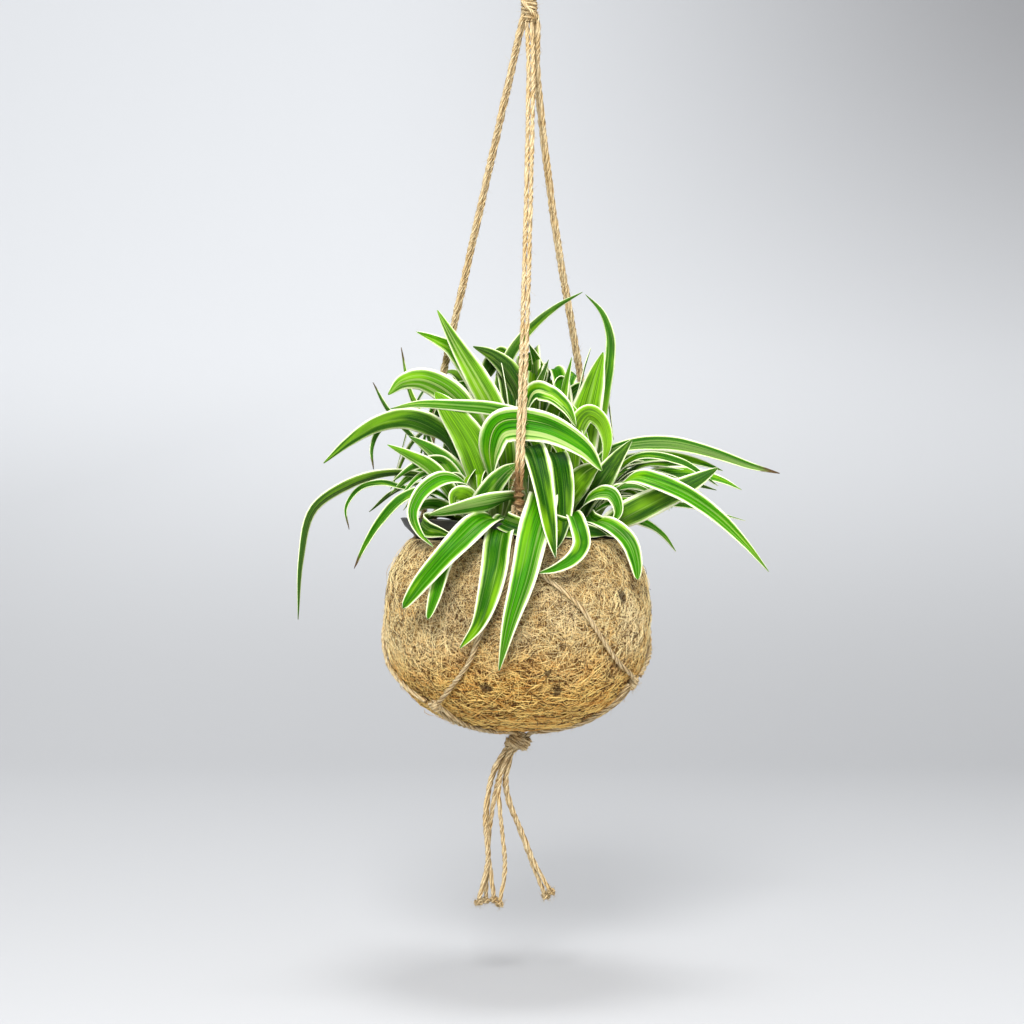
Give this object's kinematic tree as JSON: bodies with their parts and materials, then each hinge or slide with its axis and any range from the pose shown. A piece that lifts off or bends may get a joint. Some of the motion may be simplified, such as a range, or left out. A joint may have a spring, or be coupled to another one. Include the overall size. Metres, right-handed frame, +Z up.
{
  "type": "hanging spider plant in a coir bowl",
  "caption": "Curly variegated spider plant in a black nursery pot, held in a round coir bowl by a knotted jute twine hanger with loose tails.",
  "frame": {"origin": "the inner top of the hanging loop, where a hook bears", "axes": "+Z up along the hanger, +X to the right seen from the front, -Y to the front"},
  "size_m": [0.3262, 0.2435, 0.6681],
  "materials": {
    "leaf": "satin variegated leaf, green with cream margins",
    "crown": "pale fleshy leaf bases",
    "jute": "twisted natural jute twine",
    "coir": "matted coconut fibre",
    "nursery_plastic": "thin black moulded plastic",
    "potting_mix": "dark peat potting mix"
  },
  "bodies": {
    "root": {"hanging_loop": "jute", "top_knot": "jute", "front_leg_twines": "jute", "left_leg_twines": "jute", "right_leg_twines": "jute", "front_upper_knot": "jute", "left_upper_knot": "jute", "right_upper_knot": "jute", "front_net_twines": "jute", "left_net_twines": "jute", "right_net_twines": "jute", "lower_knot_left": "jute", "lower_knot_right": "jute", "lower_knot_back": "jute", "base_twines": "jute", "bottom_knot": "jute", "tail_twine_1": "jute", "tail_twine_2": "jute", "tail_twine_3": "jute", "tail_twine_4": "jute", "tail_twine_5": "jute", "tail_twine_6": "jute", "tail_knots": "jute", "coir_bowl": "coir", "nursery_pot": "nursery_plastic", "potting_mix": "potting_mix", "left_crown": "crown", "middle_crown": "crown", "right_crown": "crown", "back_crown": "crown", "top_arch_leaf": "leaf", "top_twist_leaf": "leaf", "left_spire_leaves": "leaf", "middle_spear_leaves": "leaf", "right_spear_leaves": "leaf", "left_broad_leaves": "leaf", "left_sweep_leaf": "leaf", "left_thin_leaves": "leaf", "left_short_leaves": "leaf", "left_long_leaf": "leaf", "left_trailing_leaves": "leaf", "left_curl_leaf": "leaf", "left_inner_leaves": "leaf", "front_cross_leaves": "leaf", "front_left_leaves": "leaf", "front_drop_leaf": "leaf", "front_long_leaf": "leaf", "front_ribbon_leaves": "leaf", "front_arch_leaves": "leaf", "right_long_leaf": "leaf", "right_side_leaves": "leaf", "right_wide_leaf": "leaf", "right_droop_leaves": "leaf", "right_fan_leaves": "leaf", "right_low_leaves": "leaf", "right_inner_leaves": "leaf", "back_leaves_1": "leaf", "back_leaves_2": "leaf", "back_leaves_3": "leaf", "back_leaves_4": "leaf"}
  },
  "joints": []
}
